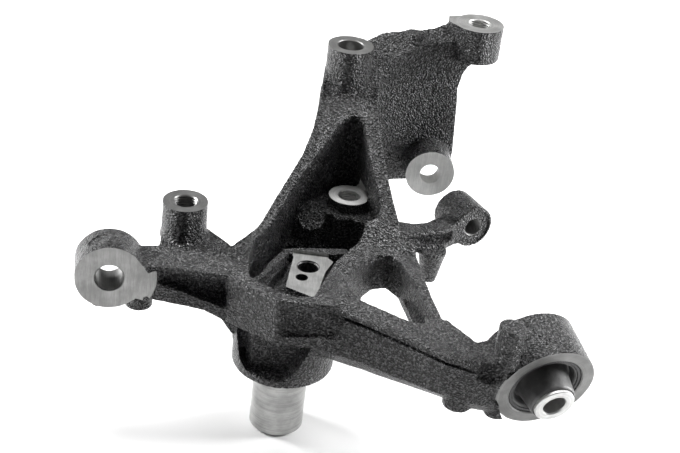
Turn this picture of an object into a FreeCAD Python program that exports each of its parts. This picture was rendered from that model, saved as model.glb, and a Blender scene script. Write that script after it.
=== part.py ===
import math
import os

import FreeCAD
import Part

os.makedirs("parts", exist_ok=True)

# Stub axle and its round collar; the centre of the collar's outboard face is the origin, inboard is up
AXLE_RADIUS = 15.0
AXLE_LENGTH = 43.5
AXLE_CHAMFER = 1.5
CENTRE_RADIUS = 3.0
COLLAR_RADIUS = 28.0
COLLAR_HEIGHT = 27.5
POCKET_LIP = 4.2
POCKET_DEPTH = 5.0

# Inboard face: level over the hub, falling a little along the long arm, climbing to the crown
DECK = 54.0
FALL_START = 18.7
ARM_FALL = 0.11
RAMP_START = 45.0
RAMP_BEND = 9.0
RAMP_ANGLE = 40.0
FOLD_SLOPE = 1.2
FLOOR_DROP = 7.5
WELL_DROP = 31.5
FLOOR_THICKNESS = 7.0
HUB_FLOOR_DROP = 41.5
RIB_DEPTH = 25.0
RIM_DEPTH = 9.0

# How far the casting reaches from the axle: to the left eye, the bush eye, the crown and the corner boss
LEFT_REACH = 94.7
BUSH_REACH = 139.9
CROWN_REACH = 126.0
CORNER_REACH = 90.2
CORNER_SETBACK = 28.0

# Upright bolt bosses: place in plan, radius, height over the face that each stands on
THREAD_RADIUS = 6.25
MOUTH_CHAMFER = 0.5
LEFT_BOSS = (32.4 - LEFT_REACH, 30.0)
LEFT_BOSS_RADIUS = 12.4
LEFT_BOSS_HEIGHT = 20.5
LEFT_BOSS_DEPTH = 16.0
CROWN_BOSS = (16.0, CROWN_REACH)
CROWN_BOSS_RADIUS = 13.4
CROWN_BOSS_HEIGHT = 14.5
CROWN_BOSS_LENGTH = 40.0
CROWN_BORE = 7.5
CROWN_BORE_DEPTH = 9.0
CROWN_THREAD = 5.4
MID_BOSS = (25.7, 84.5)
MID_BOSS_RADIUS = 11.9
MID_BOSS_HEIGHT = 6.0
MID_FLOOR_DEPTH = 8.0
CORNER_BOSS = (CORNER_REACH, CROWN_REACH + CORNER_SETBACK)
CORNER_BOSS_RADIUS = 14.5
CORNER_BOSS_HEIGHT = 3.0
CORNER_BOSS_LENGTH = 21.0
CORNER_THREAD_DEPTH = 18.0

# Eyes: centre of the machined face, turn to the right of the front, tilt above level
LEFT_EYE = (-LEFT_REACH, -12.0, DECK - 7.8)
LEFT_EYE_TURN = 12.0
LEFT_EYE_TILT = 2.0
LEFT_EYE_RADIUS = 18.4
LEFT_EYE_BORE = 7.5
LEFT_EYE_WIDTH = 21.0
MILLED_RADIUS = 25.0
LINK_EYE = (72.9, CROWN_REACH - 2, DECK + 6.1)
LINK_EYE_TURN = 8.0
LINK_EYE_RADIUS = 15.0
LINK_EYE_BORE = 6.1
LINK_EYE_WIDTH = 23.0
LINK_LUG = 10.0
SMALL_EYE = (101.5, 93.8, DECK - 10.1)
SMALL_EYE_TURN = 32.0
SMALL_EYE_RADIUS = 13.0
SMALL_EYE_THREAD = 5.4
SMALL_EYE_DEPTH = 20.0
SMALL_EYE_WIDTH = 24.0
BUSH_EYE = (BUSH_REACH, -31.7, DECK - 29.2)
BUSH_TURN = 22.0
BUSH_TILT = -13.0
HOUSING_WALL = 6.9
HOUSING_WIDTH = 28.0

# Pressed-in bush
SLEEVE_RADIUS = 20.4
SLEEVE_WALL = 2.0
SLEEVE_LENGTH = 26.0
CORE_RADIUS = 11.0
CORE_BORE = 6.25
CORE_REACH = 12.5
CORE_CHAMFER = 0.7
RUBBER_GROOVE = 6.5

# Wheel-speed sensor seat
SENSOR = (8.0, 26.0)
SENSOR_DROP = 9.0
SENSOR_BORE = 5.8
SENSOR_SCREW = (5.5, 14.2)
SCREW_RADIUS = 3.4
SCREW_DEPTH = 18.0

# How far a machining tool runs past what it cuts
OVERRUN = 12.0

UP = FreeCAD.Vector(0, 0, 1)


def at(x, y, z):
    return FreeCAD.Vector(x, y, z)


def heading(turn, tilt):
    """Direction an eye faces."""
    a = math.radians(turn)
    b = math.radians(tilt)
    return at(math.sin(a) * math.cos(b), -math.cos(a) * math.cos(b), math.sin(b))


def level(x):
    """Height of the inboard face on the near side of the ramp."""
    return DECK - ARM_FALL * max(0.0, x - FALL_START)


def ramp(y):
    """Height of the ramp that climbs to the crown."""
    return DECK + math.tan(math.radians(RAMP_ANGLE)) * (y - RAMP_START)


def drawn(value, fixed, drawn_end, end):
    """Place on an outline drawn as far as drawn_end, what lies past the fixed place drawn out to end."""
    if (value - fixed) * (drawn_end - fixed) <= 0:
        return value
    return fixed + (value - fixed) * (end - fixed) / (drawn_end - fixed)


def climbing(outline):
    """Plan outline of the frame, its climbing part drawn out to the crown."""
    return [(x, drawn(y, RAMP_START, 126.0, CROWN_REACH)) for x, y in outline]


def along_wall(outline):
    """Plan outline of the curved wall, set behind the crown and drawn out to the corner boss."""
    return [(drawn(x, 40.0, 90.2, CORNER_REACH), y + CROWN_REACH - 126.0) for x, y in outline]


def to_left(x):
    """Place along the left arm, drawn out to the left eye."""
    return drawn(x, -30.0, -94.7, -LEFT_REACH)


def to_right(x):
    """Place along the long arm, drawn out to the bush eye."""
    return drawn(x, 84.0, 139.9, BUSH_REACH)


def closed(points, corner=0.0):
    """Closed outline, its corners rounded by the radius or by what their sides leave room for."""
    if corner <= 0.0:
        return Part.makePolygon(points + [points[0]])
    edges = []
    bends = []
    for i, p in enumerate(points):
        back = points[i - 1] - p
        on = points[(i + 1) % len(points)] - p
        half = back.getAngle(on) / 2
        if half > 1.56:
            bends.append((p, None, p))
            continue
        room = 0.45 * min(back.Length, on.Length)
        reach = min(corner / math.tan(half), room)
        radius = reach * math.tan(half)
        back.normalize()
        on.normalize()
        inward = (back + on).normalize()
        middle = p + inward * (radius / math.sin(half) - radius)
        bends.append((p + back * reach, middle, p + on * reach))
    for i, (start, middle, end) in enumerate(bends):
        if middle:
            edges.append(Part.Arc(start, middle, end).toShape())
        edges.append(Part.makeLine(end, bends[(i + 1) % len(bends)][0]))
    return Part.Wire(edges)


def plan(outline, low, high, corner=0.0):
    """Upright block over a plan outline."""
    wire = closed([at(x, y, low) for x, y in outline], corner)
    return Part.Face(wire).extrude(at(0, 0, high - low))


def side(outline, left, right):
    """Block over an outline of depth and height, running from left to right."""
    return Part.Face(closed([at(left, y, z) for y, z in outline])).extrude(at(right - left, 0, 0))


def front(outline, near, far, corner=0.0):
    """Block over an outline of width and height, running from near to far."""
    wire = closed([at(x, near, z) for x, z in outline], corner)
    return Part.Face(wire).extrude(at(0, far - near, 0))


def rod(radius, length, base, axis=UP):
    return Part.makeCylinder(radius, length, at(*base), axis)


def cone(low_radius, high_radius, low, high, place):
    return Part.makeCone(low_radius, high_radius, high - low, at(*place, low))


def skin(sections):
    """Body through closed outlines that have the same number of corners."""
    return Part.makeLoft([closed([at(*p) for p in s]) for s in sections], True, True)


def drilled(radius, depth, mouth, outward, chamfer=MOUTH_CHAMFER):
    """Round hole from its mouth inwards, with a chamfered mouth."""
    mouth = at(*mouth)
    top = mouth + outward * chamfer
    lead = Part.makeCone(radius + 2 * chamfer, radius, 2 * chamfer, top, outward * -1)
    return rod(radius, depth + 1, mouth + outward, outward * -1).fuse(lead)


frame_floor = DECK - FLOOR_DROP
well_floor = DECK - WELL_DROP
frame_low = well_floor - FLOOR_THICKNESS
sensor_seat = DECK - SENSOR_DROP
crown_top = ramp(CROWN_BOSS[1]) + CROWN_BOSS_HEIGHT
corner_top = ramp(CORNER_BOSS[1]) + CORNER_BOSS_HEIGHT

# Hub: collar with the pocket in its front, the front wall above it, and the floor behind
pocket_outline = [
    (-25.5, COLLAR_HEIGHT + 1), (-25, 21.8), (-22.2, 8.9), (-18, POCKET_LIP + 0.6), (-10, POCKET_LIP),
    (1.5, POCKET_LIP + 0.2), (6.3, POCKET_LIP + 3.2), (9.7, 13.2), (12.8, 19.7), (17, COLLAR_HEIGHT + 1),
]
collar = rod(COLLAR_RADIUS, COLLAR_HEIGHT, (0, 0, 0))
pocket = rod(COLLAR_RADIUS + 5, COLLAR_HEIGHT + 1, (0, 0, 0))
pocket = pocket.cut(rod(COLLAR_RADIUS - POCKET_DEPTH, COLLAR_HEIGHT + 1, (0, 0, 0)))
collar = collar.cut(pocket.common(front(pocket_outline, -COLLAR_RADIUS - 6, -6)))
wall_outline = [
    (-32.3, -10), (-4.3, -26.5), (27.7, -24.5), (40.7, -27), (42.7, 14), (32.7, 50), (-21.3, 50),
    (-34.3, 24),
]
floor_outline = [
    (-28.3, -6), (-13.3, -14), (22.7, -16), (32.7, -4), (36.7, 50), (34.7, 66), (-5.3, 68),
    (-21.3, 44), (-29.3, 20),
]
body = plan(wall_outline, COLLAR_HEIGHT - 1, DECK, 4.0).fuse([
    collar,
    plan(floor_outline, DECK - HUB_FLOOR_DROP, COLLAR_HEIGHT + 4, 5.0),
])

# Frame climbing from the hub to the crown boss
frame_outline = [
    (-34.3, 10), (-33.3, 22), (-29.3, 33), (-23.3, 44.5), (-12.9, 64.6), (-3.9, 81), (0.3, 95),
    (1.7, 108),
    (2.3, 126), (6.7, 139), (25.7, 139), (35.7, 130), (35.7, 110.6), (38.2, 100), (41.7, 88), (49.7, 68),
    (56.2, 54), (60.7, 44), (38.7, 10),
]
crown_end = drawn(139.0, RAMP_START, 126.0, CROWN_REACH)
bend_end = RAMP_START + RAMP_BEND * math.cos(math.radians(RAMP_ANGLE))
bend = []
for t in (0.0, 0.35, 0.6, 0.8, 1.0):
    bend_y = RAMP_START - RAMP_BEND + (bend_end - RAMP_START + RAMP_BEND) * t
    bend.append((bend_y, DECK + (ramp(bend_end) - DECK) * t * t))
frame_side = [(10, DECK)] + bend + [
    (crown_end, ramp(crown_end)), (crown_end, frame_floor), (80, frame_floor), (68, frame_low),
    (10, frame_low),
]
frame = plan(climbing(frame_outline), DECK - 46, ramp(crown_end + 10)).common(side(frame_side, -60, 80))
under_rib = [(36.7, 0), (78.7, 0), (78.7, 62), (48.7, 62), (36.7, 50)]
frame = frame.cut(plan(under_rib, DECK - 60, DECK - RIB_DEPTH))
skirt_outline = [(-8.3, 64), (-3.8, 81), (0.1, 95), (0.9, 108), (1.1, 128), (6.7, 139), (6.7, 64)]
skirt_side = [
    (60, frame_floor), (crown_end, frame_floor), (crown_end, ramp(crown_end) - 16), (60, frame_floor + 8),
]
skirt = plan(climbing(skirt_outline), frame_floor, ramp(crown_end + 10)).common(side(skirt_side, -60, 80))
body = body.fuse([frame, skirt])

# Curved wall on the right, its rim in the plane of the ramp, its free edge leaning out downwards
wall_front = [
    (31.7, 124), (34.7, 128.7), (39.7, 131.8), (44.7, 134.6), (51.7, 138.2), (59.7, 141),
    (67.7, 143.6), (88.7, 147),
]
wall_back = [(89.7, 154), (65.7, 151.5), (55.7, 149), (40.7, 142.5), (28.7, 135), (24.7, 128)]
rim_back = [
    (89.7, 166), (77.7, 160), (70.7, 154.6), (63.7, 151.8), (55.7, 149.6), (46.7, 148.6), (33.7, 146),
    (24.7, 141), (20.7, 130),
]
wall_near = CROWN_REACH - 26
wall_far = CROWN_REACH + 44
wall_side = [
    (wall_near, frame_floor - 1), (wall_far, frame_floor - 1), (wall_far, ramp(wall_far)),
    (wall_near, ramp(wall_near)),
]
rim_side = [
    (wall_near, ramp(wall_near) - RIM_DEPTH), (wall_far, ramp(wall_far) - RIM_DEPTH),
    (wall_far, ramp(wall_far)),
    (wall_near, ramp(wall_near)),
]
edge_outline = [
    (0.5, corner_top), (0.5, corner_top - 23), (-3, corner_top - 25.5), (-5.9, corner_top - 31),
    (-7.3, corner_top - 40), (-6.3, corner_top - 50), (-4.1, frame_floor + 18), (-5.5, frame_floor - 8),
    (40, frame_floor - 8), (40, corner_top + 40), (0.5, corner_top + 40),
]
edge = front([(CORNER_REACH + x, z) for x, z in edge_outline], wall_near, wall_far + 20)
wall = plan(along_wall(wall_front + wall_back), frame_floor - 8, ramp(wall_far))
wall = wall.common(side(wall_side, 0, 200))
rim = plan(along_wall(wall_front + rim_back), frame_floor - 8, ramp(wall_far))
rim = rim.common(side(rim_side, 0, 200))
lump_y = CROWN_REACH + 20.5
lump = cone(6.8, 4.6, ramp(lump_y) - 6.3, ramp(lump_y) + 2.1, (51.7, lump_y))
body = body.fuse([wall.fuse(rim).cut(edge), lump])

# Long arm to the bush eye: sections given by width, and by depth and drop below the inboard face
arm_sections = [
    (16.7, [(-22, 0), (-24.5, 27.5), (-16, 37.5), (20, 37.5), (26, 25.5), (26, 0)]),
    (42.7, [(-30, 0), (-31.5, 25.5), (-26, 33.8), (-16, 33.8), (-12, 27), (-12, 0)]),
    (64.7, [(-38, 0), (-39, 25.4), (-34, 31.4), (-25, 31.4), (-21, 23.4), (-21, 0)]),
    (84.7, [(-47, 0), (-46, 24.2), (-40, 30.0), (-18, 30.0), (-12, 22.2), (-12, 0)]),
    (100.7, [(-49.5, 0), (-48, 24.5), (-44, 30.5), (-30, 30.5), (-27, 22.5), (-27, 0)]),
    (116.7, [(-47, 0), (-46, 24.7), (-42, 31.7), (-24, 31.7), (-14, 22.7), (-14, 0)]),
]
arm = skin([[(to_right(x), y, level(x) - drop) for y, drop in section] for x, section in arm_sections])
rib_outline = [
    (26.7, 20), (38.7, 45), (60.7, 50), (64.7, 57), (70.2, 33), (76.2, 8), (83.7, -17), (68.7, -26),
    (48.7, -12), (26.7, -6),
]
body = body.fuse([arm, plan(rib_outline, DECK - RIB_DEPTH, DECK, 2.0)])
over = DECK + 80
fall = front(
    [(FALL_START, DECK), (BUSH_REACH, level(BUSH_REACH)), (BUSH_REACH, over), (FALL_START, over)],
    -90, RAMP_START,
)
fold = []
for x in (FALL_START + 2, 76):
    reach = RAMP_START + (DECK - level(x)) / (FOLD_SLOPE - math.tan(math.radians(RAMP_ANGLE)))
    fold.append([
        (x, RAMP_START - 0.1, level(x)), (x, reach, ramp(reach)), (x, reach, over),
        (x, RAMP_START - 0.1, over),
    ])
body = body.cut([fall, skin(fold)])

# Left arm with its hollowed front
arm_side = [
    (to_left(-81.3), DECK - 19.5), (to_left(-70.1), DECK - 21.3), (to_left(-56.3), DECK - 22.5),
    (to_left(-44.6), DECK - 23.9), (to_left(-34.6), DECK - 28.3),
    (to_left(-28.6), DECK - 36.6), (to_left(-21.3), DECK - 39.5), (to_left(-21.3), DECK),
    (to_left(-81.3), DECK),
]
left_hollow = skin([
    [(to_left(-70.3), y, DECK - drop) for y, drop in [(-9, 4.5), (-9, 10), (-6, 9.5), (-6, 5)]],
    [(-32.8, y, DECK - drop) for y, drop in [(-9, 4.5), (-9, 20), (2, 17.5), (2, 5.5)]],
])
plate_outline = [
    (-85.3, -8), (-85.3, 11.5), (-73.3, 14.5), (-74.3, 30), (-70.3, 40), (-64.3, 42.3), (-56.3, 42.3),
    (-50.3, 38.5), (-42.3, 31),
    (-33.3, 22), (-25.3, 20), (-25.3, -8),
]
foot = cone(LEFT_BOSS_RADIUS + 1.0, LEFT_BOSS_RADIUS + 0.6, DECK - 1, DECK + 1.8, LEFT_BOSS)
left_boss = cone(
    LEFT_BOSS_RADIUS + 0.5, LEFT_BOSS_RADIUS, DECK - LEFT_BOSS_DEPTH, DECK + LEFT_BOSS_HEIGHT, LEFT_BOSS,
)
left_facing = heading(LEFT_EYE_TURN, LEFT_EYE_TILT)
body = body.fuse([
    front(arm_side, -8, 10).cut(left_hollow),
    plan([(to_left(x), y) for x, y in plate_outline], DECK - 9, DECK, 1.5),
    foot,
    left_boss,
    rod(LEFT_EYE_RADIUS, LEFT_EYE_WIDTH, LEFT_EYE, left_facing * -1),
    rod(7.5, 20, (14.4 - LEFT_REACH, -2, DECK - 28.5)),
    rod(5.5, 12, (-6.6 - LEFT_REACH, -3, DECK - 29.5)),
])

# Short arm, its eye and the tapered stub under it
short_outline = [
    (48.7, 58), (58.7, 68), (71.7, 74), (84.7, 80), (91.7, 88.2), (99.7, 93), (86.7, 103), (78.7, 93),
    (72.7, 86), (64.7, 83),
    (48.7, 84),
]
short_arm = plan(short_outline, DECK - 20, DECK - 6, 1.0)
under_flange = [(58.7, 60), (62.7, 73), (71.7, 78.5), (82.7, 84), (88.7, 86), (88.7, 70)]
short_hollow = plan(under_flange, DECK - 15.5, DECK - 9)
small_facing = heading(SMALL_EYE_TURN, 0)
body = body.fuse([
    short_arm.cut(short_hollow),
    rod(SMALL_EYE_RADIUS, SMALL_EYE_WIDTH, SMALL_EYE, small_facing * -1),
    cone(4.6, 8.8, DECK - 38.5, DECK - 17.5, (78.0, 76)),
])

# Link eye: a lug before the wall, the room for its nut behind it, open downwards, and the ear beside it
link_facing = heading(LINK_EYE_TURN, 0)
ear_outline = [
    (56.7, LINK_EYE[2] - 1.1), (66.2, LINK_EYE[2] + 11.4), (71.4, LINK_EYE[2] + 14.9),
    (74.7, LINK_EYE[2] - 1.6),
    (59.7, LINK_EYE[2] - 6.6),
]
ear = front(ear_outline, LINK_EYE[1] - 1, LINK_EYE[1] + 20).cut(rod(60, 20, LINK_EYE, link_facing))
room_top = LINK_EYE[2] + LINK_EYE_BORE + 1.4
room_outline = [(63, frame_floor - 20), (63, room_top), (84, room_top), (84, frame_floor - 20)]
nut_room = front(room_outline, LINK_EYE[1] + LINK_LUG, wall_far, 5.0)
nut_room.rotate(at(*LINK_EYE), UP, LINK_EYE_TURN)
body = body.fuse([
    rod(LINK_EYE_RADIUS, LINK_EYE_WIDTH, LINK_EYE, link_facing * -1),
    ear,
]).cut(nut_room)

# Crown boss and corner boss
corner_block = [(-18.5, 6), (-18.5, -2), (-9.5, -12), (0.5, -13), (0.5, 14.4)]
corner_x, corner_y = CORNER_BOSS
body = body.fuse([
    rod(CROWN_BOSS_RADIUS, CROWN_BOSS_LENGTH, CROWN_BOSS + (crown_top - CROWN_BOSS_LENGTH,)),
    rod(CORNER_BOSS_RADIUS, CORNER_BOSS_LENGTH, CORNER_BOSS + (corner_top - CORNER_BOSS_LENGTH,)),
    plan(
        [(corner_x + x, corner_y + y) for x, y in corner_block],
        corner_top - CORNER_BOSS_LENGTH, corner_top,
    ),
])
trimmed = [(-32, -24), (18, -24), (18, 26), (-32, 26)]
body = body.cut(plan([(corner_x + x, corner_y + y) for x, y in trimmed], corner_top, corner_top + 50))

# Bush housing, post and pads on the long arm
bush_facing = heading(BUSH_TURN, BUSH_TILT)
housing_radius = SLEEVE_RADIUS + HOUSING_WALL
body = body.fuse([
    rod(housing_radius, HOUSING_WIDTH, BUSH_EYE, bush_facing * -1),
    rod(7.0, 24, (BUSH_REACH - 24.7, -41, DECK - 11.5)),
    rod(8.0, 10, (to_right(94.7), -39, DECK - 41)),
    rod(6.8, 12, (BUSH_REACH - 24.2, -37, DECK - 45)),
])

# Pockets of the frame and the window
upper_pocket = [
    (-16.3, 46), (-9.3, 60), (-2.3, 72.7), (6.7, 85.4), (14.2, 96), (18.7, 101.5), (23.7, 103.5),
    (28.7, 101.5),
    (33.7, 86.6), (39.7, 72.6), (44.2, 63), (43.2, 57), (36.7, 54.5), (36.2, 50), (34.2, 46),
]
well = [
    (-23.3, 31), (-16.3, 46), (-9.3, 60), (-4.3, 64), (0.7, 60), (4.7, 57), (10.7, 60), (16.7, 66),
    (28.7, 68),
    (41.7, 63), (43.2, 57), (36.7, 54.5), (36.2, 50), (34.2, 46), (29.7, 38),
]
seat_pocket = [
    (-21.3, -5), (-24.3, 14), (-23.3, 34), (-13.3, 47), (28.7, 47), (29.7, 38), (22.7, 21), (17.7, 0),
    (13.7, -17), (4.7, -19),
    (-5.3, -16.5),
]
window_top = [
    (29.7, 4), (30.7, 12), (36.7, 24), (44.7, 37), (52.7, 40), (60.7, 31), (68.7, 4), (75.2, -19),
    (66.7, -21.5), (59.7, -19.5),
    (50.7, -16), (38.7, -11.5), (32.7, -4),
]
window_low = [
    (35.7, 7), (36.7, 14), (40.7, 23), (45.7, 31), (51.7, 34), (56.7, 27), (63.7, 4), (69.7, -16),
    (64.7, -19.5), (58.7, -17.5),
    (50.7, -14), (42.7, -10), (37.7, -3),
]
parting = DECK - 13.5
body = body.cut([
    plan(climbing(upper_pocket), frame_floor + MID_FLOOR_DEPTH, over + 60, 2.0),
    plan(well, well_floor, over + 60),
    plan(seat_pocket, sensor_seat - 3.5, over + 40, 2.0),
    plan(window_top, parting, over, 1.5),
    skin([[(x, y, parting) for x, y in window_top], [(x, y, parting - 36) for x, y in window_low]]),
])
seat_outline = [(-2.3, 3), (-0.8, 38), (17.7, 38), (21.7, 34), (17.7, 22), (14.7, -5)]
mid_top = frame_floor + MID_FLOOR_DEPTH + MID_BOSS_HEIGHT
body = body.fuse([
    plan(seat_outline, sensor_seat - 16.5, sensor_seat),
    rod(MID_BOSS_RADIUS, mid_top - frame_floor, MID_BOSS + (frame_floor,)),
])
crown_core = [(x, CROWN_REACH + y) for x, y in [(8.7, -18), (28.7, -18), (28.7, 6), (8.7, 6)]]
body = body.cut(plan(crown_core, frame_floor - 18, crown_top - CROWN_BOSS_LENGTH, 4.0))

# Stub axle, with the centre hole of its turning
axle = rod(AXLE_RADIUS, AXLE_LENGTH - AXLE_CHAMFER + 5, (0, 0, AXLE_CHAMFER - AXLE_LENGTH))
end_radius = AXLE_RADIUS - AXLE_CHAMFER
axle = axle.fuse(cone(end_radius, AXLE_RADIUS, -AXLE_LENGTH, AXLE_CHAMFER - AXLE_LENGTH, (0, 0)))
centre = cone(CENTRE_RADIUS, 0, -AXLE_LENGTH, CENTRE_RADIUS * 1.7 - AXLE_LENGTH, (0, 0))
body = body.fuse(axle)

# Machined faces and holes
left_boss_top = LEFT_BOSS + (DECK + LEFT_BOSS_HEIGHT,)
crown_foot = CROWN_BOSS + (crown_top - CROWN_BOSS_LENGTH - OVERRUN,)
sleeve_start = at(*BUSH_EYE) + bush_facing * OVERRUN
body = body.cut([
    centre,
    rod(MILLED_RADIUS, OVERRUN, LEFT_EYE, left_facing),
    rod(housing_radius + 3, OVERRUN, BUSH_EYE, bush_facing),
    drilled(THREAD_RADIUS, LEFT_BOSS_HEIGHT + LEFT_BOSS_DEPTH + 4, left_boss_top, UP),
    drilled(CROWN_BORE, CROWN_BORE_DEPTH, CROWN_BOSS + (crown_top,), UP),
    rod(CROWN_THREAD, CROWN_BOSS_LENGTH + OVERRUN, crown_foot),
    drilled(THREAD_RADIUS, mid_top - frame_floor + 10, MID_BOSS + (mid_top,), UP),
    drilled(THREAD_RADIUS, CORNER_THREAD_DEPTH, CORNER_BOSS + (corner_top,), UP),
    drilled(LEFT_EYE_BORE, LEFT_EYE_WIDTH + OVERRUN, LEFT_EYE, left_facing),
    drilled(LINK_EYE_BORE, LINK_EYE_WIDTH, LINK_EYE, link_facing, 0.3),
    drilled(SMALL_EYE_THREAD, SMALL_EYE_DEPTH, SMALL_EYE, small_facing),
    rod(SLEEVE_RADIUS, HOUSING_WIDTH + 2 * OVERRUN, sleeve_start, bush_facing * -1),
    drilled(SENSOR_BORE, sensor_seat + 2, SENSOR + (sensor_seat,), UP, 0.3),
    drilled(SCREW_RADIUS, SCREW_DEPTH, SENSOR_SCREW + (sensor_seat,), UP),
])
casting = body.removeSplitter()
casting.exportStep("parts/knuckle_casting.step")

# Bush, turned about its own axis: the outer face of the housing at zero, outwards positive
inside = SLEEVE_RADIUS - SLEEVE_WALL
inset = (HOUSING_WIDTH - SLEEVE_LENGTH) / 2
middle = -HOUSING_WIDTH / 2


def turned(outline):
    """Ring from an outline of radius and distance along the bush, set in the eye."""
    ring = Part.Face(closed([at(r, 0, s) for r, s in outline])).revolve(at(0, 0, 0), UP, 360)
    ring.Placement = FreeCAD.Placement(at(*BUSH_EYE), FreeCAD.Rotation(UP, bush_facing))
    return ring


def mirrored(half):
    """Outline of a ring that is the same at both ends, from the half at the outer end."""
    return half + [(r, 2 * middle - s) for r, s in reversed(half)]


outer = turned(mirrored([(inside, -inset), (SLEEVE_RADIUS, -inset)]))
core = turned(mirrored([
    (CORE_BORE, CORE_REACH - CORE_CHAMFER), (CORE_BORE + CORE_CHAMFER, CORE_REACH),
    (CORE_RADIUS - 0.4, CORE_REACH), (CORE_RADIUS, CORE_REACH - 0.4),
]))
rubber = turned(mirrored([
    (CORE_RADIUS, CORE_REACH - 2.0), (CORE_RADIUS + 1.3, CORE_REACH - 3.5), (CORE_RADIUS + 2.2, 2.0),
    (CORE_RADIUS + 3.6, -RUBBER_GROOVE), (inside - 2.2, -RUBBER_GROOVE), (inside - 1.6, -inset - 1.2),
    (inside - 0.8, -inset - 0.4), (inside, -inset - 0.8),
]))
outer.exportStep("parts/bush_outer_sleeve.step")
core.exportStep("parts/bush_inner_sleeve.step")
rubber.exportStep("parts/bush_rubber.step")
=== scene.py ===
import math

import bpy
from mathutils import Matrix, Vector


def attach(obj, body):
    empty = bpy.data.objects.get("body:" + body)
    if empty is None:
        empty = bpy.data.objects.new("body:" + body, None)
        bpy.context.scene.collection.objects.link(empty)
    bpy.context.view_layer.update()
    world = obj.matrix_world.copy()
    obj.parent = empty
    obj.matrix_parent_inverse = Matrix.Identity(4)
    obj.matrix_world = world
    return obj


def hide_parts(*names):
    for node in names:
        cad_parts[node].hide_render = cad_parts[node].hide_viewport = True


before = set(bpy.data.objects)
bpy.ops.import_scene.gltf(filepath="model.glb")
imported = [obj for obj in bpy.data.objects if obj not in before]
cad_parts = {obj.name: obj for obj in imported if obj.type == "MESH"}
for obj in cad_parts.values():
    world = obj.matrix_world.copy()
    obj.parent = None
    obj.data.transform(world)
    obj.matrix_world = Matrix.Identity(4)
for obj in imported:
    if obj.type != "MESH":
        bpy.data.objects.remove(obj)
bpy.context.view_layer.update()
MM = 0.001

# Raw casting: nodular iron poured in a sand mould, with hub, arms and eyes in one. Where metal is cut later it
# stands 1.5 to 3 mm proud with its holes still solid, and every corner has the radius that the mould left.
UP = Vector((0, 0, 1))
HUB = Vector((0, 0, 0))
LEFT_BOSS = Vector((-62.3, 30.0, 74.5))
CROWN_BOSS = Vector((16.0, 126.0, 136.467))
MID_BOSS = Vector((25.7, 84.5, 60.5))
CORNER_BOSS = Vector((90.2, 154.0, 148.462))
LEFT_EYE = Vector((-94.7, -12.0, 46.2))
LINK_EYE = Vector((72.9, 124.0, 60.1))
SMALL_EYE = Vector((101.5, 93.8, 43.9))
BUSH_EYE = Vector((139.9, -31.7, 24.8))
SENSOR = Vector((8.0, 26.0, 45.0))
SENSOR_SCREW = Vector((5.5, 14.2, 45.0))
CAST_MARK = Vector((-102.0, -4.0, 63.1))
CAST_MARK_FACING = Vector((-0.4, 0, 0.92))
LEFT_PEG = Vector((-80.3, -2.0, 25.5))
BUSH_PEG = Vector((115.7, -37.0, 9.0))
DECK = 54.0
ARM_FALL = 0.11
ARM_FALL_START = 18.7
RAMP_START = 45.0
RAMP_CLIMB = math.tan(math.radians(40))


def heading(turn, tilt=0.0):
    """Direction that an eye faces: degrees to the right of the front, and above level."""
    a = math.radians(turn)
    b = math.radians(tilt)
    return Vector((math.sin(a) * math.cos(b), -math.cos(a) * math.cos(b), math.sin(b)))


LEFT_FACING = heading(12, 2)
LINK_FACING = heading(8)
SMALL_FACING = heading(32)
BUSH_FACING = heading(22, -13)


def only(*pieces):
    """Select these pieces and nothing else."""
    bpy.ops.object.select_all(action="DESELECT")
    for piece in pieces:
        piece.select_set(True)
    bpy.context.view_layer.objects.active = pieces[0]


def seated(piece, place, axis):
    """Stand a piece that was made along Z at its place and along its axis, in its mesh."""
    only(piece)
    piece.matrix_world = Matrix.Translation(place * MM) @ axis.to_track_quat("Z", "Y").to_matrix().to_4x4()
    bpy.ops.object.transform_apply(location=True, rotation=True, scale=True)
    return piece


def turned(name, steps, place, axis=UP, finishes=(), segments=96):
    """Turned solid: bands from one (radius, distance along the axis, finish) to the next, in millimetres."""
    bpy.ops.object.select_all(action="DESELECT")
    radius, height = steps[0][:2]
    bpy.ops.mesh.primitive_circle_add(vertices=segments, radius=radius * MM, fill_type="NGON")
    piece = bpy.context.object
    piece.name = name
    for material in finishes:
        piece.data.materials.append(material)
    bpy.ops.object.mode_set(mode="EDIT")
    bpy.ops.mesh.select_all(action="SELECT")
    bpy.ops.transform.translate(value=(0, 0, height * MM))
    for step in steps[1:]:
        if finishes:
            piece.active_material_index = step[2]
            bpy.ops.object.material_slot_assign()
        bpy.ops.mesh.extrude_region_move(TRANSFORM_OT_translate={"value": (0, 0, (step[1] - height) * MM)})
        if step[0] != radius:
            wider = step[0] / radius
            bpy.ops.transform.resize(value=(wider, wider, 1), center_override=(0, 0, step[1] * MM))
        radius, height = step[:2]
    bpy.ops.mesh.select_all(action="SELECT")
    bpy.ops.mesh.normals_make_consistent(inside=False)
    bpy.ops.object.mode_set(mode="OBJECT")
    return seated(piece, place, axis)


def block(name, outline, low, high, standing=False, rise=0.0):
    """Block over a plan outline, between two heights that may climb away; standing, over a front outline,
    between two depths."""
    bpy.ops.object.select_all(action="DESELECT")
    bpy.ops.mesh.primitive_circle_add(vertices=len(outline), radius=0.02, fill_type="NGON")
    piece = bpy.context.object
    piece.name = name
    for point, (x, y) in zip(piece.data.vertices, outline):
        point.co = (x * MM, low * MM, y * MM) if standing else (x * MM, y * MM, (low + rise * y) * MM)
    bpy.ops.object.mode_set(mode="EDIT")
    bpy.ops.mesh.select_all(action="SELECT")
    run = (high - low) * MM
    bpy.ops.mesh.extrude_region_move(TRANSFORM_OT_translate={"value": (0, run, 0) if standing else (0, 0, run)})
    bpy.ops.mesh.select_all(action="SELECT")
    bpy.ops.mesh.normals_make_consistent(inside=False)
    bpy.ops.object.mode_set(mode="OBJECT")
    return piece


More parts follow.
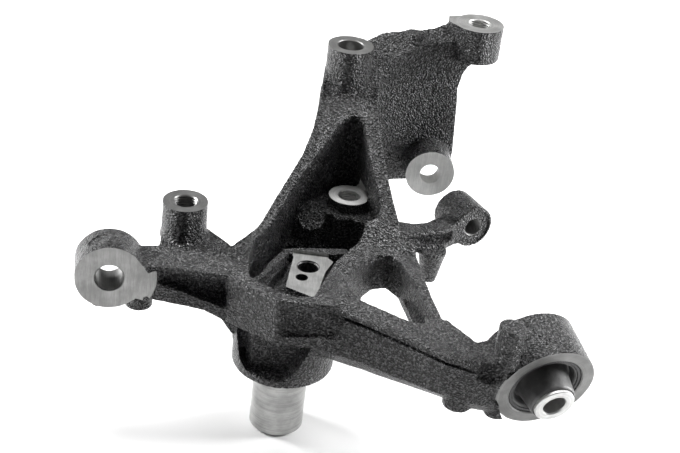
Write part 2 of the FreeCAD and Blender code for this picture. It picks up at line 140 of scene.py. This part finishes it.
def worked(piece, kind, **settings):
    """Put a modifier on a piece and apply it."""
    only(piece)
    modifier = piece.modifiers.new("work", kind)
    for name, value in settings.items():
        setattr(modifier, name, value)
    bpy.ops.object.modifier_apply(modifier="work")


def joined(pieces):
    """Make one object of these, under the first one's name."""
    only(*pieces)
    bpy.ops.object.join()
    return bpy.context.object


casting = bpy.data.objects.new("knuckle_body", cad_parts["knuckle_casting"].data.copy())
bpy.context.scene.collection.objects.link(casting)
casting.data.materials.clear()
only(casting)
bpy.ops.object.mode_set(mode="EDIT")
bpy.ops.mesh.select_all(action="SELECT")
bpy.ops.mesh.remove_doubles(threshold=0.000001)
bpy.ops.object.mode_set(mode="OBJECT")

# Stock for machining, the pegs, and the small pads, stubs and shelves that stand on the casting.
stock = [
    turned("stock", [(12.2, -36), (12.4, 1.5)], LEFT_BOSS),
    turned("stock", [(13.2, -30), (13.4, 1.5)], CROWN_BOSS),
    turned("stock", [(11.7, -13), (11.9, 1.5)], MID_BOSS),
    turned("stock", [(14.3, -20.5), (14.5, 1.5)], CORNER_BOSS),
    turned("stock", [(18.4, -22.8), (18.4, 1.8)], LEFT_EYE, LEFT_FACING),
    turned("stock", [(7.4, -6), (7.2, 0.75)], CAST_MARK, CAST_MARK_FACING),
    turned("stock", [(7.5, 0), (7.5, 16)], LEFT_PEG),
    turned("stock", [(6.8, 0), (6.8, 12)], BUSH_PEG),
    turned("stock", [(15.0, -9.0), (15.0, 1.8)], LINK_EYE, LINK_FACING),
    turned("stock", [(7.0, -22), (7.0, -0.2)], SMALL_EYE, SMALL_FACING),
    turned("stock", [(27.3, -29.8), (27.3, 1.8)], BUSH_EYE, BUSH_FACING),
    block("stock", [(-2.3, 3), (-0.8, 38), (17.7, 38), (21.7, 34), (17.7, 22), (14.7, -5)], 43.0, 46.5),
    block("stock", [(71.7, 160), (71.7, 152), (80.7, 142), (90.7, 141), (90.7, 168.4)], 146.0, 149.9),
    block("stock", [(-86, -9.4), (-86, -4), (-74.5, -4), (-74.5, -9.4)], 35.6, 52.6),
    block("stock", [
        (-21.7, 2.8), (-17.0, 11), (-14.8, 19), (-6.9, 38.8), (1.9, 42.0), (28.2, 47.0), (31, 42),
        (18.5, 38.5), (3, 38), (-3.5, 35.0), (-11.4, 18), (-13.6, 10), (-18, 1)], 28, 47.0),
    turned("stock", [(16.5, -45), (16.5, 0), (28.0, 0), (28.0, 3)], HUB),
    turned("stock", [(7.5, -44), (7.5, -0.3)], SENSOR),
    turned("stock", [(4.5, -19), (4.5, -0.3)], SENSOR_SCREW),
]
# Beads on the ramp: the rim step of the plate and its two short webs, then the lips of the open frame.
ramp = DECK - RAMP_START * RAMP_CLIMB
stock += [block("stock", strip, ramp - 1.5, ramp + 0.8, rise=RAMP_CLIMB) for strip in (
    [(34.7, 128.5), (39.7, 131.6), (44.7, 134.4), (51.7, 138), (59.7, 140.8), (67.7, 143.4), (77, 145.2),
     (77, 147.2), (67.2, 145.4), (59.1, 142.7), (51, 139.8), (43.9, 136.2), (38.7, 133.2), (33.7, 130.2)],
    [(55.5, 146.0), (56.3, 144.6), (74.5, 152.2), (73.7, 153.6)],
    [(58.6, 146.4), (59.0, 144.8), (77.2, 145.8), (77.0, 147.4)],
    [(2.3, 124), (1.7, 108), (0.3, 95), (-3.9, 81), (-12.9, 64.6), (-21, 48.9),
     (-19.3, 48.2), (-11.4, 63.9), (-2.3, 80.4), (1.9, 94.7), (3.3, 108), (4.0, 124)],
    [(35.7, 118), (35.7, 110.6), (38.2, 100), (41.7, 88), (49.7, 68), (55.5, 55.5),
     (54.1, 54.9), (48.3, 67.4), (40.2, 87.5), (36.7, 99.6), (34.2, 110.4), (34.2, 118)],
)]
# Lips along the front of the deck.
stock += [block("stock", strip, DECK - 2, DECK + 0.8) for strip in (
    [(-32.0, -9.6), (-4.3, -26.3), (27.7, -24.3), (27.7, -22.6), (-4.0, -24.4), (-31.2, -8.2)],
    [(-68.5, -7.9), (-31, -7.9), (-31, -6.2), (-68.5, -6.2)],
)]
casting = joined([casting] + stock)
worked(casting, "REMESH", mode="VOXEL", voxel_size=0.62 * MM)

# Hollows that the sand cores left: the wells round the sensor's shelf and the nose behind it, the groove in
# the strut, the fronts of the collar, the hub and the left arm, and the shadow line along the long arm.
cores = [
    block("core", [
        (-21.5, 3.5), (-23.6, 14), (-23.0, 31), (-16.2, 45.5), (-4, 47), (-7.2, 39.5), (-15.2, 19.5),
        (-17.6, 11)], 27, 60),
    block("core", [
        (-9, 60), (-3.8, 71), (0, 66.5), (6, 65.0), (12, 68.5), (17.5, 70.5), (20, 66), (12, 56), (0, 56)], 33, 56),
    block("core", [(-12.4, 7), (-9.8, 17.5), (-2.6, 33.6), (-3.6, 26), (-4.8, 14), (-5.6, 4)], 34, 52),
    block("core", [(18.8, 21.5), (23.0, 24), (23.8, 9), (20.8, -6), (15.8, -7.5), (17.2, 6)], 34, 52),
    block("core", [
        (100.5, 43.5), (104, 46.5), (110, 47.5), (114.5, 46), (115.5, 37), (108.9, 33), (101, 37)], -62, -44.5, True),
    turned("core", [(11.8, 5), (11.3, -0.9)], SMALL_EYE, SMALL_FACING),
    turned("core", [(5.7, 4), (5.5, 0.1)], CAST_MARK, CAST_MARK_FACING),
    block("core", [
        (-70.1, 52.0), (-33.5, 50.8), (-33.5, 33.5), (-50.2, 38.4), (-63, 42.8), (-69.9, 44.0)], -9.5, -1.0, True),
    block("core", [
        (-21.3, 24.5), (-19.0, 9.5), (-16, 6.0), (-10, 5.2), (1.5, 5.4), (5.2, 8.0), (8.2, 14.5), (11, 20.5),
        (14, 26.0), (4, 27.5), (-4, 26.5), (-13, 28)], -32, -17, True),
    block("core", [
        (-2.6, 50.6), (22, 50.8), (31, 49.0), (28, 35), (14, 33.6), (6, 33), (-1.6, 31.5)], -36, -22.9, True),
]
shadow_line = block("core", [
    (27, -21.0), (42.7, -28.9), (64.7, -36.9), (84.7, -45.8), (100.7, -48.3), (108, -48.6), (108, -56), (80, -54),
    (60, -44), (40, -36), (27, -30)], -0.9, 0.9)
bpy.ops.transform.rotate(value=-math.atan(ARM_FALL), orient_axis="Y", center_override=(ARM_FALL_START * MM, 0, 0))
bpy.ops.transform.translate(value=(0, 0, (DECK - 3.9) * MM))
bpy.ops.object.transform_apply(location=True, rotation=True, scale=True)
nose_slope = block("core", [(-9, -14), (19, -14), (17.5, -3), (13, 3), (13, 12), (4, 12), (-3, 0)], 0, 9)
bpy.ops.transform.rotate(value=-math.radians(27), orient_axis="X", center_override=(0, 0, 0))
bpy.ops.transform.translate(value=(0, 70.5 * MM, 50.6 * MM))
bpy.ops.object.transform_apply(location=True, rotation=True, scale=True)
strut_groove = block("core", [
    (55.4, 25.4), (62.5, 15.9), (69.0, -1.3), (74.6, -15.6), (78.4, -12.5), (73.2, -2.2), (67.5, 14.9),
    (60.2, 26.2)], 33, 60)
for core in (joined(cores), joined([shadow_line, nose_slope, strut_groove])):
    worked(casting, "BOOLEAN", operation="DIFFERENCE", solver="EXACT", object=core)
    bpy.data.objects.remove(core)

# Radii and the unevenness that the sand leaves.
worked(casting, "SMOOTH", factor=0.5, iterations=4)
uneven = bpy.data.textures.new("mould_unevenness", "CLOUDS")
uneven.noise_scale = 0.008
uneven.noise_depth = 2
worked(casting, "DISPLACE", texture=uneven, texture_coords="LOCAL", strength=0.0004, mid_level=0.65)
worked(casting, "DECIMATE", ratio=0.22)


# Finish of the casting: black dip paint over the sand skin, a little duller in patches and deep black between the
# grains. On the tops of the grains its colour is a lighter metallic grey: partly paint worn to the iron, partly
# painted glints that stand in for light catching the grain.
class Signal:
    """A value that changes over a surface; sums with it add Math nodes."""

    def __init__(self, tree, socket=None):
        self.tree = tree
        self.socket = socket

    def node(self, kind, settings, values, output=0):
        """Any node: its type, its settings, the values or links of its sockets, and the output to go on with."""
        made = self.tree.nodes.new("ShaderNode" + kind)
        for name, value in settings.items():
            setattr(made, name, value)
        for name, value in values.items():
            if isinstance(value, Signal):
                self.tree.links.new(value.socket, made.inputs[name])
            else:
                made.inputs[name].default_value = value
        return Signal(self.tree, made.outputs[output] if made.outputs else None)

    def sum(self, operation, first, second):
        return self.node("Math", {"operation": operation}, {0: first, 1: second})

    def __add__(self, other):
        return self.sum("ADD", self, other)

    __radd__ = __add__

    def __sub__(self, other):
        return self.sum("SUBTRACT", self, other)

    def __rsub__(self, other):
        return self.sum("SUBTRACT", other, self)

    def __mul__(self, other):
        return self.sum("MULTIPLY", self, other)

    __rmul__ = __mul__


def finish(name):
    """New material, and the place on the object that its patterns follow."""
    material = bpy.data.materials.new(name)
    material.use_nodes = True
    material.node_tree.nodes.clear()
    return material, Signal(material.node_tree).node("TexCoord", {}, {}, "Object")


def noise(place, scale, detail, roughness):
    """Uneven value from 0 to 1, in patches of about 1 / scale metres."""
    return place.node("TexNoise", {}, {"Vector": place, "Scale": scale, "Detail": detail, "Roughness": roughness})


def band(signal, low, high):
    """0 below low, 1 above high, smooth between."""
    return signal.node("MapRange", {"interpolation_type": "SMOOTHSTEP"}, {
        "Value": signal, "From Min": low, "From Max": high})


def shade(factor, dark, light):
    """Colour between a dark and a light one."""
    return factor.node("Mix", {"data_type": "RGBA"}, {0: factor, 6: (*dark, 1), 7: (*light, 1)}, 2)


def surface(place, values, height, distance):
    """Close a material: its shader's values, and the relief that its bump raises, in metres."""
    bump = place.node("Bump", {}, {"Height": height, "Distance": distance, "Strength": 1.0})
    shader = place.node("BsdfPrincipled", {}, {**values, "Normal": bump})
    place.node("OutputMaterial", {}, {"Surface": shader})


black_paint, place = finish("black_cast_iron")
grains = place.node("TexVoronoi", {"feature": "SMOOTH_F1"}, {
    "Vector": place, "Scale": 800.0, "Smoothness": 0.4}, "Distance")
fine = noise(place, 1050.0, 2.0, 0.5)
lumps = noise(place, 300.0, 3.0, 0.6)
patches = noise(place, 45.0, 3.0, 0.6)
# Lighter metallic grey on the grain tops: partly worn paint, partly painted glints of light.
worn_glint_tips = band(fine - grains * 0.5 + lumps * 0.3, 0.3, 0.72)
relief = fine * 0.9 - grains * 0.7 + lumps * 0.5
surface(place, {
    "Base Color": shade(worn_glint_tips, (0.002, 0.002, 0.0021), (0.175, 0.175, 0.177)),
    "Roughness": 0.27 + band(patches, 0.4, 0.7) * 0.1,
    "Metallic": worn_glint_tips * 0.8,
    "Specular IOR Level": 0.4,
}, relief, 0.0018)
casting.data.materials.append(black_paint)

# Machined faces and holes: faces milled square to their holes, holes drilled, bored or tapped, and the stub
# axle turned between centres, all after painting, so that they are bare iron.
def bare(name, centre, axis, kind, light, gloss=1.0):
    """Bare iron with the marks of its tool: rings round the axis, or straight passes across it. Its tone, light, is
    painted face by face to how bright that face lies under the lamps: painted light and shade.
    """
    material, place = finish(name)
    turn = axis.to_track_quat("Z", "Y").to_matrix().inverted().to_euler()
    moved = place.node("VectorMath", {"operation": "SUBTRACT"}, {0: place, 1: centre * MM})
    own = place.node("Mapping", {"vector_type": "POINT"}, {"Vector": moved, "Rotation": turn})
    if kind == "rings":
        flat = own.node("VectorMath", {"operation": "MULTIPLY"}, {0: own, 1: (1, 1, 0)})
        out = own.node("VectorMath", {"operation": "LENGTH"}, {0: flat}, "Value")
        trail = own.node("CombineXYZ", {}, {"X": out})
    elif kind == "turned":
        trail = own.node("VectorMath", {"operation": "MULTIPLY"}, {0: own, 1: (0.02, 0.02, 1)})
    else:
        trail = own.node("VectorMath", {"operation": "MULTIPLY"}, {0: own, 1: (1, 0.045, 0.045)})
    marks = noise(trail, 2600.0, 3.0, 0.7)
    bands = noise(trail, 420.0, 2.0, 0.6)
    blotch = noise(place, 110.0, 3.0, 0.6)
    tone = marks * 0.4 + bands * 0.22 + blotch * 0.4
    low = light * 0.72
    high = min(1.0, light * 1.25)
    surface(place, {
        "Base Color": shade(band(tone, 0.38, 0.68), (low, low, low * 0.985), (high, high, high * 0.985)),
        "Roughness": 0.62 - 0.3 * gloss + marks * 0.16,
        "Metallic": gloss,
    }, marks * 0.6 + bands * 0.4, 0.00012)
    return material


# Walls of bores and threads: bare iron painted dark, a painted shade for the hollows of the holes.
shaded_bore_wall, place = finish("bore_wall_painted_shade")
smear = noise(place, 700.0, 3.0, 0.6)
surface(place, {
    "Base Color": shade(band(smear, 0.35, 0.65), (0.05, 0.05, 0.05), (0.13, 0.13, 0.13)),
    "Roughness": 0.42 + smear * 0.1,
    "Metallic": 1.0,
}, smear, 0.0001)


def tapped(radius, top, bottom, wall=1):
    """Grooves of a thread, from its top down to its bottom, in the finish with the number wall."""
    pitch = 1.5
    depth = pitch / 2
    steps = []
    height = top
    while height - pitch > bottom:
        steps += [(radius, height, wall), (radius + depth, height - pitch * 0.42, wall),
                  (radius + depth, height - pitch * 0.58, wall)]
        height -= pitch
    return steps + [(radius, height, wall)]


def boss_cut(name, place, width, radius, depth, light, gloss=1.0, thread=0, cone=False, counterbore=None):
    """Cutter for one boss: its top face, the lead of its hole and the thread."""
    lead = 0.7
    face = bare(name + "_face", place, UP, "rings", light, gloss)
    steps = [(width, 6, 0), (width, 0, 0)]
    start = 0
    if counterbore:
        wide, deep = counterbore
        steps += [(wide + 0.5, 0, 0), (wide, -0.5, 0), (wide, -deep, 1)]
        start = -deep
    steps += [(radius + lead, start, 0), (radius, start - lead, 0)]
    steps += tapped(radius, start - lead, -depth, thread)
    if cone:
        steps += [(radius, -depth - 1, 1), (0.2, -depth - 1 - radius * 0.5, 1)]
    else:
        steps += [(radius, -depth - 2, 1)]
    return turned(name, steps, place, UP, (face, shaded_bore_wall), 64)


# Each boss's face tone, its sixth number, is painted light and shade; the mid boss's face is painted lighter against
# the shade of its pit. With thread=1 the threads of the left and mid holes take the painted shade of the bore walls.
cutters = [
    boss_cut("left_boss_cut", LEFT_BOSS, 14.5, 6.25, 38, 0.22, thread=1),
    boss_cut("crown_boss_cut", CROWN_BOSS, 15.5, 5.4, 40, 0.34, counterbore=(7.5, 9.0)),
    boss_cut("mid_boss_cut", MID_BOSS, 12.0, 6.25, 20, 0.5, gloss=0.5, thread=1),
    boss_cut("corner_boss_cut", CORNER_BOSS, 21.0, 6.25, 17, 0.62, cone=True),
]


def facing_cut(name, outline, depth, place, axis, finish_of):
    """Straight-sided cutter over an outline of (radius, angle) about an axis, down to one depth."""
    corners = [(r * math.cos(math.radians(a)), r * math.sin(math.radians(a))) for r, a in outline]
    piece = block(name, corners, depth, 10)
    piece.data.materials.append(finish_of)
    return seated(piece, place, axis)


# Eyes: faces milled round their bores, the left one with the fan that the cutter left in the arm's root; the
# bore of the bush housing, and the axle with its chamfered end and centre hole.
# The tone given to each bare finish here is painted light and shade, set to how lit or shaded its face lies.
eye_milled = bare("left_eye_milled", LEFT_EYE, LEFT_FACING, "passes", 0.22)
# The left eye's facing runs out into a fan on the arm's side.
fan = [(18.9, a) for a in range(26, 322, 4)] + [(25.0, a) for a in range(-35, 12, 2)] + [(20.9, 9.4)]
eye_cut = facing_cut("left_eye_facing", fan, -0.1, LEFT_EYE, LEFT_FACING, eye_milled)
cutters.append(turned("left_eye_cut", [
    (8.1, 9, 0), (8.1, -0.1, 0), (7.5, -0.7, 0), (7.5, -20.4, 1), (8.1, -21.0, 0), (21.0, -21.0, 0), (21.0, -24, 0),
], LEFT_EYE, LEFT_FACING, (eye_milled, shaded_bore_wall)))
small_lead = bare("small_eye_lead", SMALL_EYE, SMALL_FACING, "rings", 0.25, 0.5)
cutters.append(turned("small_eye_cut", [(8.9, 2.5, 0), (5.4, -1.0, 0)] + tapped(5.4, -1.0, -19) + [
    (5.4, -20, 1), (0.2, -23, 1)], SMALL_EYE, SMALL_FACING, (small_lead, shaded_bore_wall), 64))
housing_faced = bare("bush_eye_faced", BUSH_EYE, BUSH_FACING, "rings", 0.2)
cutters.append(turned("bush_eye_cut", [
    (21.0, 10, 0), (21.0, 0, 0), (20.4, -0.6, 0), (20.4, -27.4, 1), (21.0, -28, 0), (28.4, -28, 0), (28.4, -30, 0),
], BUSH_EYE, BUSH_FACING, (housing_faced, shaded_bore_wall), 128))
# The facing runs past the housing, but stops short of the peg below it, from 192 to 240 degrees.
around = [(27.4 if 192 <= a <= 240 else 30.3, a) for a in range(0, 360, 3)]
bush_cut = facing_cut("bush_eye_facing", around, 0, BUSH_EYE, BUSH_FACING, housing_faced)
axle_turned = bare("stub_axle_turned", HUB, UP, "turned", 0.42)
cutters.append(turned("axle_cut", [
    (33.0, -52, 0), (33.0, 0, 0), (16.2, 0, 0), (15.35, -0.35, 0), (15.0, -1.2, 0), (15.0, -42.0, 0),
    (13.5, -43.5, 0), (3.0, -43.5, 0), (0.2, -40.0, 1),
], HUB, UP, (axle_turned, shaded_bore_wall), 160))

# Sensor pad: milled, with a reamed bore and a tapped hole. Cutters that cross each other are kept apart.
pad_milled = bare("sensor_pad_milled", SENSOR, UP, "passes", 0.46)
pad_cut = block("pad_cut", [
    (-3.3, 1.5), (-1.4, 38.8), (18.1, 38.8), (22.7, 34), (18.8, 21.5), (15.8, -6.5)], 44.9, 49)
pad_cut.data.materials.append(pad_milled)
# The link eye's face is bare iron painted near white and hardly metallic: a painted highlight where the lamps catch
# it.
link_face_highlight = bare("link_eye_painted_highlight", LINK_EYE, LINK_FACING, "passes", 1.0, 0.1)
later = [
    turned("link_eye_cut", [
        (19.5, 5, 0), (19.5, 0, 0), (6.5, 0, 0), (6.1, -0.4, 0), (6.1, -14, 1),
    ], LINK_EYE, LINK_FACING, (link_face_highlight, shaded_bore_wall)),
    turned("sensor_bore_cut", [(5.8, -50, 0), (5.8, -1.2, 0), (6.4, -0.6, 0), (6.4, 8, 0)], SENSOR, UP, (shaded_bore_wall,)),
    turned("sensor_screw_cut", [(0.2, -20, 0), (3.4, -18, 0), (3.4, 8, 0)], SENSOR_SCREW, UP, (shaded_bore_wall,)),
]
# By the last cut the skin has small gaps deep in the bores, so that cut judges each face by itself.
for cutter, gaps in (
        (pad_cut, False), (joined([eye_cut, bush_cut]), False), (joined(cutters), False), (joined(later), True)):
    worked(casting, "BOOLEAN", operation="DIFFERENCE", solver="EXACT", object=cutter,
           material_mode="TRANSFER", use_hole_tolerant=gaps)
    bpy.data.objects.remove(cutter)
only(casting)
bpy.ops.object.shade_smooth_by_angle(angle=math.radians(38))
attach(casting, "root")
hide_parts("knuckle_casting")

# Outer sleeve of the bush: a steel ring with rounded lips, phosphated dark. It is pressed into the housing
# and stops 1 mm below the housing's faces.
phosphate, place = finish("phosphated_steel")
crystals = noise(place, 2400.0, 3.0, 0.6)
surface(place, {
    "Base Color": shade(band(crystals, 0.4, 0.65), (0.035, 0.035, 0.036), (0.085, 0.085, 0.086)),
    "Roughness": 0.36 + crystals * 0.12,
    "Metallic": 0.6,
}, crystals, 0.00006)


def ring(name, outline, finish_of):
    """Closed ring about the bush's axis from an outline of (radius, distance along the axis)."""
    bpy.ops.object.select_all(action="DESELECT")
    bpy.ops.mesh.primitive_circle_add(vertices=len(outline), radius=0.01, fill_type="NOTHING")
    piece = bpy.context.object
    piece.name = name
    for point, (radius, height) in zip(piece.data.vertices, outline):
        point.co = (radius * MM, 0, height * MM)
    bpy.ops.object.mode_set(mode="EDIT")
    bpy.ops.mesh.select_all(action="SELECT")
    bpy.ops.mesh.spin(steps=128, angle=math.tau, center=(0, 0, 0), axis=(0, 0, 1))
    bpy.ops.mesh.select_all(action="SELECT")
    bpy.ops.mesh.remove_doubles(threshold=0.000002)
    bpy.ops.mesh.normals_make_consistent(inside=False)
    bpy.ops.object.mode_set(mode="OBJECT")
    seated(piece, BUSH_EYE, BUSH_FACING)
    piece.data.materials.append(finish_of)
    bpy.ops.object.shade_smooth_by_angle(angle=math.radians(35))
    return piece


sleeve = ring("bush_sleeve", [
    (18.4, -1.3), (18.7, -1.0), (20.0, -1.0), (20.4, -1.5), (20.4, -26.5), (20.0, -27), (18.7, -27), (18.4, -26.7),
], phosphate)
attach(sleeve, "root")
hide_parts("bush_outer_sleeve")

# Rubber of the bush: moulded natural rubber, bonded to both sleeves, with a boot that runs out along the
# inner sleeve and a groove behind its lip at both ends.
rubber_finish, place = finish("moulded_rubber")
skin = noise(place, 900.0, 4.0, 0.65)
dust = noise(place, 90.0, 3.0, 0.6)
surface(place, {
    "Base Color": shade(band(dust, 0.3, 0.7), (0.035, 0.035, 0.035), (0.085, 0.085, 0.085)),
    "Roughness": 0.36 + skin * 0.12,
}, skin, 0.0001)
HOUSING_WIDTH = 28
boot_half = [
    (11.0, 10.4), (11.6, 10.7), (12.1, 10.2), (12.4, 9.0), (12.7, 6.0), (13.2, 2.0), (13.8, -2.0), (14.5, -5.6),
    (15.0, -6.5), (15.8, -6.5), (16.2, -5.6), (16.5, -3.0), (16.9, -2.1), (17.6, -1.5), (18.1, -1.5), (18.4, -1.8),
]
boot_outline = boot_half + [(r, -HOUSING_WIDTH - s) for r, s in reversed(boot_half)]
rubber = ring("bush_rubber_boot", boot_outline, rubber_finish)
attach(rubber, "root")
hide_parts("bush_rubber")

# Inner sleeve of the bush: a thick cold-drawn steel tube, held by the bond of the rubber and proud of it at
# both ends, where the bolt clamps it. Its ends are faced bright.
# The ends' bright tone is painted light, set to how lit they lie.
ends_faced = bare("sleeve_end_faced", BUSH_EYE, BUSH_FACING, "rings", 0.62, 0.85)
core_half = [(6.25, 11.8), (6.95, 12.5), (10.6, 12.5), (11.0, 12.1)]
core_outline = core_half + [(r, -HOUSING_WIDTH - s) for r, s in reversed(core_half)]
core = ring("bush_core", core_outline, ends_faced)
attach(core, "root")
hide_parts("bush_inner_sleeve")

# Studio: pale floor under the end of the stub axle, a soft light overhead, a soft bank at each side, and the
# camera at the height and turn that the photograph was taken from.
bpy.ops.object.select_all(action="DESELECT")
bpy.ops.mesh.primitive_plane_add(size=8, location=(0, 0, -43.5 * MM))
floor = bpy.context.object
floor.name = "studio_floor"
floor_paint = bpy.data.materials.new("studio_floor")
floor_paint.use_nodes = True
floor_shader = floor_paint.node_tree.nodes["Principled BSDF"]
floor_shader.inputs["Base Color"].default_value = (0.9, 0.9, 0.9, 1)
floor_shader.inputs["Roughness"].default_value = 0.9
floor.data.materials.append(floor_paint)

world = bpy.data.worlds.new("studio")
world.use_nodes = True
world.node_tree.nodes["Background"].inputs["Color"].default_value = (1, 1, 1, 1)
world.node_tree.nodes["Background"].inputs["Strength"].default_value = 0.11
bpy.context.scene.world = world


def lamp(name, place, target, size, power):
    """Soft rectangular light that faces a target, in metres and watts."""
    light = bpy.data.lights.new(name, "AREA")
    light.shape = "RECTANGLE"
    light.size, light.size_y = size
    light.energy = power
    holder = bpy.data.objects.new(name, light)
    bpy.context.scene.collection.objects.link(holder)
    holder.matrix_world = Matrix.Translation(place) @ (place - target).to_track_quat("Z", "Y").to_matrix().to_4x4()


lamp("overhead", Vector((0.0, 0.45, 1.25)), Vector((0, 0.1, 0)), (1.2, 0.5), 24)
lamp("left_bank", Vector((-1.0, 0.3, 0.42)), Vector((0, 0.05, 0.05)), (0.35, 0.8), 24)
lamp("right_bank", Vector((1.1, 0.35, 0.42)), Vector((0, 0.05, 0.05)), (0.35, 0.8), 24)
bpy.context.scene.view_settings.view_transform = "Standard"

camera_data = bpy.data.cameras.new("photo_camera")
camera_data.sensor_width = 36
camera_data.lens = 74.12
camera = bpy.data.objects.new("photo_camera", camera_data)
bpy.context.scene.collection.objects.link(camera)
camera.matrix_world = Matrix((
    (0.99234, -0.12361, 0.0, 0.022683),
    (0.06213, 0.49873, -0.86453, -0.629456),
    (0.10686, 0.85791, 0.50258, 0.453786),
    (0, 0, 0, 1),
))
bpy.context.scene.camera = camera
